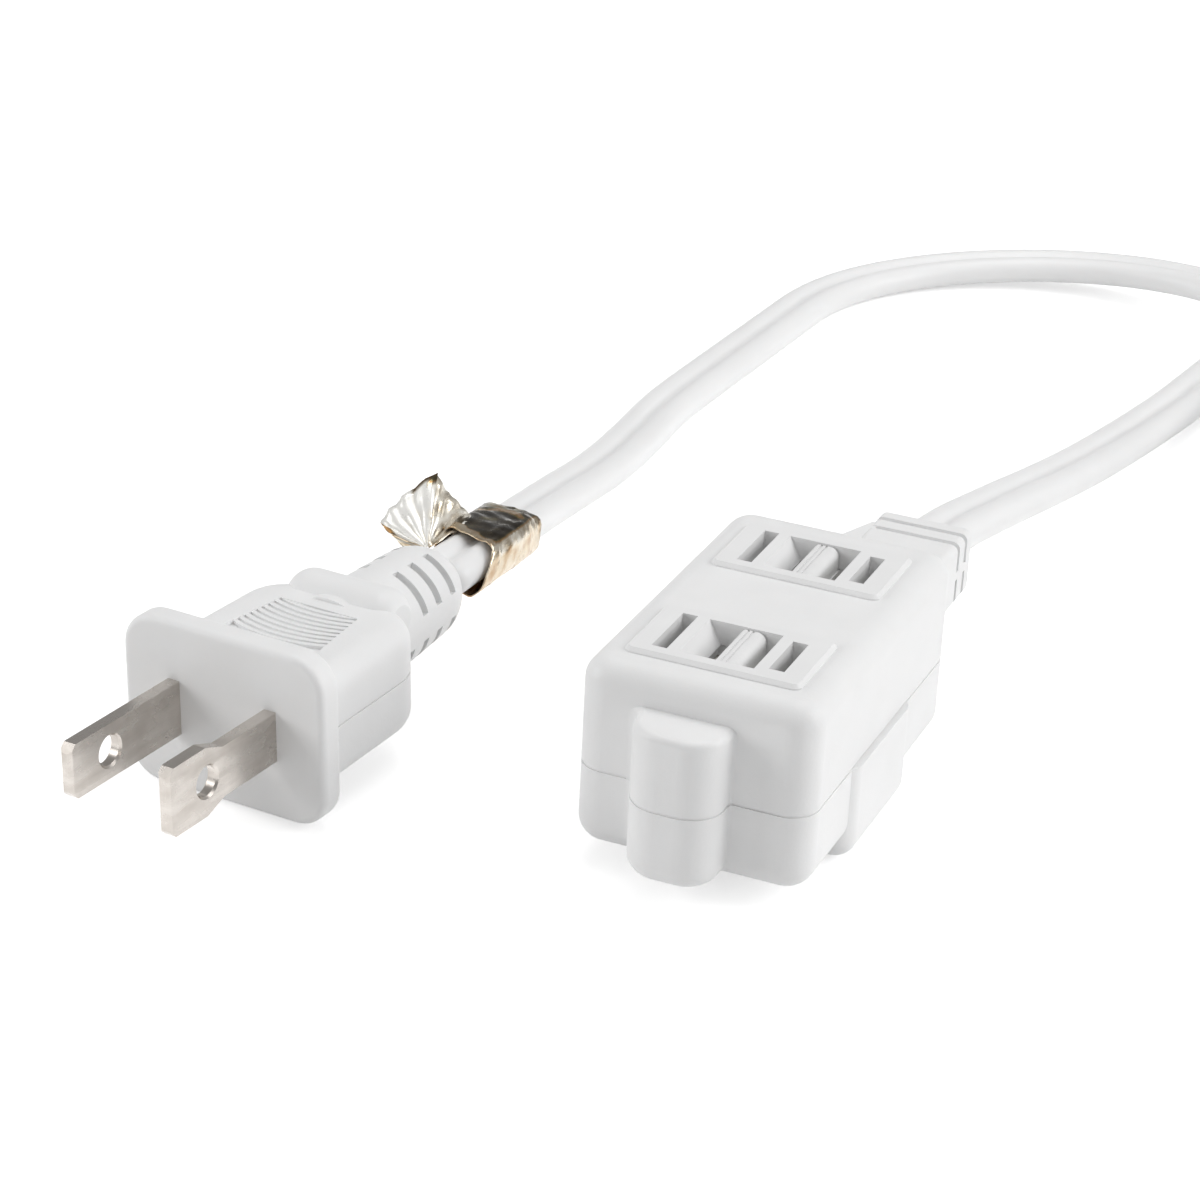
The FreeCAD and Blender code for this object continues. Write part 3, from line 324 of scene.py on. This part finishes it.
def band_section():
    """The foil band's outline round the cord, from the right end of its flat bottom over the top and back."""
    outline = []
    for x, z, start in ((1, -1, -90), (1, 1, 0), (-1, 1, 90), (-1, -1, 180)):
        level = BAND_TOP if z > 0 else BAND_BOTTOM
        for k in range(BAND_CORNER_STEPS + 1):
            angle = math.radians(start + 90 / BAND_CORNER_STEPS * k)
            across = x * (BAND_HALF - BAND_CORNER) + BAND_CORNER * math.cos(angle)
            outline.append((across, level - z * BAND_CORNER + BAND_CORNER * math.sin(angle)))
    dense = []
    for k, (x, z) in enumerate(outline):
        far = outline[(k + 1) % len(outline)]
        pieces = max(1, round(math.dist((x, z), far) / BAND_STEP))
        dense += [(x + (far[0] - x) * j / pieces, z + (far[1] - z) * j / pieces) for j in range(pieces)]
    return dense


def crumple(place, amount):
    """How far crumpled foil stands out at a place in mm: sharp ridges over a soft waviness."""
    ridge = 1.0 - 2.5 * abs(noise.noise(place * 0.42))
    fine = 1.0 - 2.5 * abs(noise.noise(place * 1.1 + Vector((7, 3, 5))))
    return amount * (0.5 * ridge + 0.22 * fine + 0.28 * noise.noise(place * 0.2))


def beside_cord(rows, travelled, distance, across, high):
    """A point beside the cord at a distance along it, and the way out of the cord there."""
    k = max(i for i in range(len(travelled) - 1) if travelled[i] <= max(distance, 0.0))
    share = (distance - travelled[k]) / (travelled[k + 1] - travelled[k])
    point = rows[k][0].lerp(rows[k + 1][0], share)
    side = rows[k][2].lerp(rows[k + 1][2], share)
    up = rows[k][3].lerp(rows[k + 1][3], share)
    return point + side * across + up * high, side * across + up * high * 2


def band_tone(place, a, b, share):
    """The band's tone at a place: champagne side, tan lips, a top in painted dark reflection with its print,
    a painted highlight in a pale arc near its rear, and a painted highlight along the side's upper edge.
    """
    if a > BAND_SIDE:
        tone = TONE_SIDE + 0.12 * noise.noise(place * 0.8)
        # Painted highlight along the side's upper edge.
        if b > SIDE_HIGHLIGHT_ABOVE:
            tone += 0.3 * noise.noise(place * 1.3) + 0.12
        return tone
    if b < UNDERSIDE:
        return TONE_BOTTOM
    if share < LIP + LIP * (BAND_HALF - a) / BAND_HALF:
        return TONE_LIP
    # Painted dark reflection with print over the top, lighter towards the rear, and a painted highlight in
    # the pale arc.
    streak = noise.noise(Vector((place.x * 0.9, place.y * 0.25, place.z * 0.5)))
    tone = TONE_TOP_REFLECTION_AND_PRINT + 0.14 * streak + 0.1 * max(0.0, share - 0.6)
    from_arc = abs(share - ARC_AT + ARC_BEND * (a - ARC_MIDDLE) ** 2)
    return tone + ARC_HIGHLIGHT_TONE * max(0.0, 1.0 - from_arc / ARC_HALF) * (abs(a) < ARC_ACROSS)


def foil_band(line):
    """The vertices, faces and tones of the crumpled band round the cord behind the plug."""
    rows = frames_along(line[::-1])
    travelled = [0.0]
    for a, b in zip(rows, rows[1:]):
        travelled.append(travelled[-1] + (b[0] - a[0]).length)
    section = band_section()
    verts, tones = [], []
    for ring in range(BAND_RINGS):
        share = ring / (BAND_RINGS - 1)
        for a, b in section:
            first = BAND_FRONT + BAND_FRONT_SKEW * a + BAND_LEAN * (b - BAND_BOTTOM)
            last = BAND_REAR + BAND_REAR_SKEW * a
            place, out = beside_cord(rows, travelled, first + (last - first) * share, a, b)
            smooth = b < BAND_CREASED_ABOVE if a > BAND_SIDE else a < BAND_CREASED_FROM
            push = crumple(place, SMOOTH_CRUMPLE if smooth else BAND_CRUMPLE) + BAND_STANDOFF
            verts.append(place + out.normalized() * push)
            tones.append(band_tone(place, a, b, share))
    return verts, ring_faces(BAND_RINGS, len(section)), tones


def flap_tone(place, ray, t, share):
    """The free end's tone: nearly white, with painted shade along the pleats, and a brown corner and rim. t
    runs along the edge points.
    """
    if CORNER_START < t < CORNER_END and share > CORNER_FROM:
        return TONE_CORNER
    # Painted shade in the pleat folds of the first rays.
    if t < PLEATED_UP_TO:
        return TONE_PLEATS - 0.45 * max(0.0, math.sin(ray * 2.4))
    if RIM_START < t < FLAP_FOLD and share > 1.0 - RIM_SLOPE * (t - RIM_START):
        return TONE_RIM
    if t > FLAP_FOLD + 0.1:
        return TONE_FOLD + 0.35 * noise.noise(place * 0.9)
    # Painted shade on one side of each pleat, deepest at the foot.
    return 1.0 - 0.3 * max(0.0, math.sin(ray * FLAP_PLEAT_TURN + 1.0)) * (1 - share)


def foil_flap():
    """The vertices, faces and tones of the pleated fan, a row of rays from its foot to its edge."""
    foot = plug_point(*FLAP_FOOT)
    edge = [plug_point(*point) for point in FLAP_EDGE]
    verts, faces, tones = [], [], []
    for ray in range(FLAP_RAYS):
        t = ray / (FLAP_RAYS - 1) * (len(edge) - 1)
        k = min(int(t), len(edge) - 2)
        rim = edge[k].lerp(edge[k + 1], t - k)
        out = (edge[k] - foot).cross(edge[k + 1] - foot).normalized()
        pleat_depth = FLAP_PLEAT * (0.4 if t >= FLAP_FOLD else 1.0)
        for step in range(FLAP_STEPS):
            share = (step + 0.4) / (FLAP_STEPS - 0.6)
            place = foot.lerp(rim, share)
            pleat = pleat_depth * math.sin(ray * FLAP_PLEAT_TURN + 2.0 * noise.noise(place * 0.3))
            verts.append(place + out * (pleat + crumple(place, FLAP_CRUMPLE)) * share)
            tones.append(flap_tone(place, ray, t, share))
    for ray in range(FLAP_RAYS - 1):
        for step in range(FLAP_STEPS - 1):
            a = ray * FLAP_STEPS + step
            faces.append((a, a + 1, a + 1 + FLAP_STEPS, a + FLAP_STEPS))
    return verts, faces, tones


def foil_tag(line):
    """The foil tag: a crumpled band round the cord behind the plug, and its pleated free end."""
    verts, faces, tones = foil_band(line)
    flap_verts, flap_faces, flap_tones = foil_flap()
    faces += [tuple(len(verts) + corner for corner in face) for face in flap_faces]
    obj = new_mesh("foil_tag", verts + flap_verts, faces)
    layer = obj.data.attributes.new("tone", "FLOAT", "POINT")
    layer.data.foreach_set("value", tones + flap_tones)
    skin = obj.modifiers.new("thickness", "SOLIDIFY")
    skin.thickness = FOIL_THICKNESS * MM
    skin.offset = 0.0
    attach(obj, BODY)
    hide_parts("wrap_label")
    return obj


tag = foil_tag(cord_line)


def shader(name):
    """A new material with its tree and its main shader."""
    material = bpy.data.materials.new(name)
    material.use_nodes = True
    return material, material.node_tree, material.node_tree.nodes["Principled BSDF"]


def add(tree, kind, **settings):
    """One node with its settings. A setting that is a socket's name sets that socket."""
    node = tree.nodes.new(kind)
    for key, value in settings.items():
        socket = key.replace("_", " ").title()
        if socket in node.inputs:
            node.inputs[socket].default_value = value
        else:
            setattr(node, key, value)
    return node


def noise_node(tree, coords, scale, detail=3.0, stretch=(1, 1, 1)):
    """A noise texture over the object's own coordinates, in features per metre."""
    mapping = add(tree, "ShaderNodeMapping")
    mapping.inputs["Scale"].default_value = stretch
    tree.links.new(coords.outputs["Object"], mapping.inputs["Vector"])
    texture = add(tree, "ShaderNodeTexNoise", scale=scale, detail=detail)
    tree.links.new(mapping.outputs["Vector"], texture.inputs["Vector"])
    return texture.outputs["Fac"]


def ramp(tree, source, stops):
    """A colour ramp on a value."""
    node = add(tree, "ShaderNodeValToRGB")
    for k, (place, colour) in enumerate(stops):
        element = node.color_ramp.elements[k] if k < 2 else node.color_ramp.elements.new(place)
        element.position = place
        element.color = (*colour, 1.0)
    tree.links.new(source, node.inputs["Fac"])
    return node.outputs["Color"]


def remap(tree, source, low, high, start=0.3, end=0.7):
    """A value spread over a range."""
    node = add(tree, "ShaderNodeMapRange")
    for socket, value in (("From Min", start), ("From Max", end), ("To Min", low), ("To Max", high)):
        node.inputs[socket].default_value = value
    tree.links.new(source, node.inputs["Value"])
    return node.outputs["Result"]


def bumped(tree, bsdf, layers):
    """Bump layers, each a height source with its strength and its depth in metres."""
    last = None
    for source, strength, depth in layers:
        node = add(tree, "ShaderNodeBump", strength=strength, distance=depth)
        tree.links.new(source, node.inputs["Height"])
        if last is not None:
            tree.links.new(last, node.inputs["Normal"])
        last = node.outputs["Normal"]
    tree.links.new(last, bsdf.inputs["Normal"])


def plastic(name, light, dark, rough, grain=0.25, soft=0.0, fine=2600.0, mottle=0.05):
    """Moulded plastic: faint colour drift, uneven gloss and a fine moulded grain."""
    material, tree, bsdf = shader(name)
    coords = add(tree, "ShaderNodeTexCoord")
    drift = noise_node(tree, coords, 90.0, 4.0)
    tree.links.new(ramp(tree, drift, ((0.3, dark), (0.7, light))), bsdf.inputs["Base Color"])
    patches = noise_node(tree, coords, 350.0, 5.0)
    tree.links.new(remap(tree, patches, rough - 0.06, rough + 0.08), bsdf.inputs["Roughness"])
    grain_height = noise_node(tree, coords, fine, 2.0)
    bumped(tree, bsdf, ((patches, mottle, 0.0002), (grain_height, grain, 0.00006)))
    bsdf.inputs["Specular IOR Level"].default_value = 0.4
    if soft:
        bsdf.inputs["Subsurface Weight"].default_value = soft
        bsdf.inputs["Subsurface Radius"].default_value = (1.0, 0.9, 0.85)
        bsdf.inputs["Subsurface Scale"].default_value = 0.0012
    return material


def metal(name, light, dark, rough, stretch, streak=700.0):
    """Sheet metal with rolling streaks, patchy tarnish and small dents."""
    material, tree, bsdf = shader(name)
    coords = add(tree, "ShaderNodeTexCoord")
    streaks = noise_node(tree, coords, streak, 3.0, stretch)
    tarnish = noise_node(tree, coords, 260.0, 5.0)
    blend = add(tree, "ShaderNodeMix", data_type="FLOAT")
    blend.inputs["Factor"].default_value = 0.45
    tree.links.new(streaks, blend.inputs["A"])
    tree.links.new(tarnish, blend.inputs["B"])
    mixed = blend.outputs["Result"]
    tree.links.new(ramp(tree, mixed, ((0.35, dark), (0.62, light))), bsdf.inputs["Base Color"])
    tree.links.new(remap(tree, mixed, rough + 0.1, rough - 0.05), bsdf.inputs["Roughness"])
    bumped(tree, bsdf, ((streaks, 0.2, 0.00004), (tarnish, 0.15, 0.0001)))
    bsdf.inputs["Metallic"].default_value = 1.0
    return material


def foil_sheet(name):
    """Thin metallised foil: dark bronze, brown, champagne or nearly white, as its tone says."""
    material, tree, bsdf = shader(name)
    coords = add(tree, "ShaderNodeTexCoord")
    tone = add(tree, "ShaderNodeAttribute", attribute_name="tone")
    drift = noise_node(tree, coords, 420.0, 5.0)
    shift = remap(tree, drift, -0.12, 0.12)
    total = add(tree, "ShaderNodeMath", operation="ADD")
    tree.links.new(tone.outputs["Fac"], total.inputs[0])
    tree.links.new(shift, total.inputs[1])
    stops = (
        (0.0, (0.034, 0.024, 0.013)),
        (0.14, (0.100, 0.076, 0.040)),
        (0.21, (0.220, 0.190, 0.095)),
        (0.32, (0.400, 0.215, 0.085)),
        (0.52, (0.640, 0.540, 0.400)),
        (0.78, (0.880, 0.830, 0.730)),
        (0.95, (0.960, 0.950, 0.910)),
    )
    tree.links.new(ramp(tree, total.outputs["Value"], stops), bsdf.inputs["Base Color"])
    tree.links.new(remap(tree, tone.outputs["Fac"], 1.0, 0.2, 0.6, 0.95), bsdf.inputs["Metallic"])
    tree.links.new(remap(tree, drift, 0.16, 0.34), bsdf.inputs["Roughness"])
    streaks = noise_node(tree, coords, 900.0, 3.0)
    bumped(tree, bsdf, ((streaks, 0.25, 0.00005),))
    return material


# Materials
vinyl = plastic("white_vinyl", (0.88, 0.88, 0.88), (0.85, 0.85, 0.85), 0.42, 0.3, 0.12)
nylon = plastic("white_nylon", (0.88, 0.88, 0.88), (0.84, 0.84, 0.84), 0.38, 0.2)
cover = plastic("cover_nylon", (0.86, 0.86, 0.86), (0.80, 0.80, 0.80), 0.44, 0.6, 0.0, 1500.0)
jacket = plastic("cord_vinyl", (0.90, 0.90, 0.90), (0.88, 0.88, 0.88), 0.37, 0.04, 0.15, mottle=0.0)
lead_vinyl = plastic("lead_vinyl", (0.84, 0.84, 0.83), (0.80, 0.80, 0.79), 0.4, 0.15, 0.1)
cream = plastic("natural_nylon", (0.76, 0.74, 0.68), (0.70, 0.68, 0.61), 0.45, 0.3)
tie_vinyl = plastic("tie_vinyl", (0.82, 0.82, 0.82), (0.76, 0.76, 0.76), 0.38, 0.3)
nickel = metal("nickel_plate", (0.66, 0.62, 0.58), (0.50, 0.46, 0.42), 0.26, (0.6, 0.12, 1.0))
brass = metal("spring_brass", (0.80, 0.62, 0.32), (0.66, 0.48, 0.22), 0.24, (1.0, 0.1, 1.0))
copper = metal("copper_strands", (0.86, 0.50, 0.32), (0.62, 0.30, 0.18), 0.3, (3.0, 0.2, 3.0), 1800.0)
foil = foil_sheet("gold_foil")

FINISHES = {
    "plug_body": vinyl,
    "plug_bridge": cream,
    "hot_blade": nickel,
    "neutral_blade": nickel,
    "plug_hot_lead": lead_vinyl,
    "plug_neutral_lead": lead_vinyl,
    "plug_hot_strands": copper,
    "plug_neutral_strands": copper,
    "tap_body": vinyl,
    "carrier_top": nylon,
    "carrier_bottom": nylon,
    "guide_plate_top": cream,
    "guide_plate_bottom": cream,
    "slider_front": cover,
    "slider_rear": cover,
    "slider_under": cover,
    "hot_contact_strip": brass,
    "neutral_contact_strip": brass,
    "tap_hot_lead": lead_vinyl,
    "tap_neutral_lead": lead_vinyl,
    "tap_hot_strands": copper,
    "tap_neutral_strands": copper,
    "cord_plug_run": jacket,
    "cord_tap_run": jacket,
    "cord_coil": jacket,
    "coil_tie": tie_vinyl,
    "wrap_label": foil,
}


def dress(obj, material):
    """Give an object one material."""
    obj.data.materials.clear()
    obj.data.materials.append(material)


for name, material in FINISHES.items():
    dress(nodes[name], material)
dress(cord, jacket)
dress(tag, foil)


def stage_material(name, colour, glow):
    """A pale surface that shows white to the camera and in reflections, and still takes shadows."""
    material = bpy.data.materials.new(name)
    material.use_nodes = True
    tree = material.node_tree
    tree.nodes.clear()
    path = add(tree, "ShaderNodeLightPath")
    seen = add(tree, "ShaderNodeMath", operation="MAXIMUM")
    tree.links.new(path.outputs["Is Camera Ray"], seen.inputs[0])
    tree.links.new(path.outputs["Is Glossy Ray"], seen.inputs[1])
    strength = add(tree, "ShaderNodeMath", operation="MULTIPLY")
    strength.inputs[1].default_value = glow
    tree.links.new(seen.outputs["Value"], strength.inputs[0])
    matte = add(tree, "ShaderNodeBsdfDiffuse", color=(*colour, 1.0))
    light = add(tree, "ShaderNodeEmission", color=(1, 1, 1, 1))
    tree.links.new(strength.outputs["Value"], light.inputs["Strength"])
    total = add(tree, "ShaderNodeAddShader")
    tree.links.new(matte.outputs["BSDF"], total.inputs[0])
    tree.links.new(light.outputs["Emission"], total.inputs[1])
    output = add(tree, "ShaderNodeOutputMaterial")
    tree.links.new(total.outputs["Shader"], output.inputs["Surface"])
    return material


# Floor, light and camera
corners = [(x * FLOOR_HALF / MM, y * FLOOR_HALF / MM) for x, y in ((-1, -1), (1, -1), (1, 1), (-1, 1))]
floor = new_mesh("floor", [(*corner, FLOOR_LEVEL) for corner in corners], [(0, 1, 2, 3)])
dress(floor, stage_material("paper_floor", (0.86, 0.86, 0.86), 0.55))


def studio_world(dimmed):
    """A world that is white to the camera and dimmer as a light."""
    world = bpy.data.worlds.new("studio")
    bpy.context.scene.world = world
    world.use_nodes = True
    tree = world.node_tree
    tree.nodes.clear()
    paths = add(tree, "ShaderNodeLightPath")
    dim = add(tree, "ShaderNodeBackground", color=(1, 1, 1, 1), strength=dimmed)
    bright = add(tree, "ShaderNodeBackground", color=(1, 1, 1, 1), strength=1.0)
    pick = add(tree, "ShaderNodeMixShader")
    output = add(tree, "ShaderNodeOutputWorld")
    tree.links.new(paths.outputs["Is Camera Ray"], pick.inputs[0])
    tree.links.new(dim.outputs[0], pick.inputs[1])
    tree.links.new(bright.outputs[0], pick.inputs[2])
    tree.links.new(pick.outputs[0], output.inputs["Surface"])


def lamp(name, place, aim, size, power):
    """A soft square lamp that faces a point."""
    data = bpy.data.lights.new(name, "AREA")
    data.size = size
    data.energy = power
    obj = bpy.data.objects.new(name, data)
    obj.location = place
    obj.rotation_euler = (Vector(aim) - Vector(place)).to_track_quat("-Z", "Y").to_euler()
    bpy.context.scene.collection.objects.link(obj)


studio_world(0.34)
lamp("key", (0.75, 0.22, 0.45), (0.0, 0.02, 0.0), 0.5, 3.8)
lamp("fill", (-0.95, -0.5, 0.42), (0.0, 0.02, 0.0), 0.6, 4.5)
lamp("overhead", (0.0, 0.25, 1.1), (0.0, 0.05, 0.0), 0.8, 4.2)

camera_data = bpy.data.cameras.new("camera")
camera = bpy.data.objects.new("camera", camera_data)
bpy.context.scene.collection.objects.link(camera)
bpy.context.scene.camera = camera
camera_data.sensor_width = SENSOR_WIDTH
camera_data.lens = SENSOR_WIDTH * FOCAL_PIXELS / PHOTO_PIXELS
camera_data.clip_start = 0.01
camera_turn = Matrix((CAMERA_RIGHT, CAMERA_UP, CAMERA_BACK)).transposed().to_4x4()
camera.matrix_world = Matrix.Translation(CAMERA_AT) @ camera_turn

bpy.context.scene.view_settings.view_transform = "Standard"
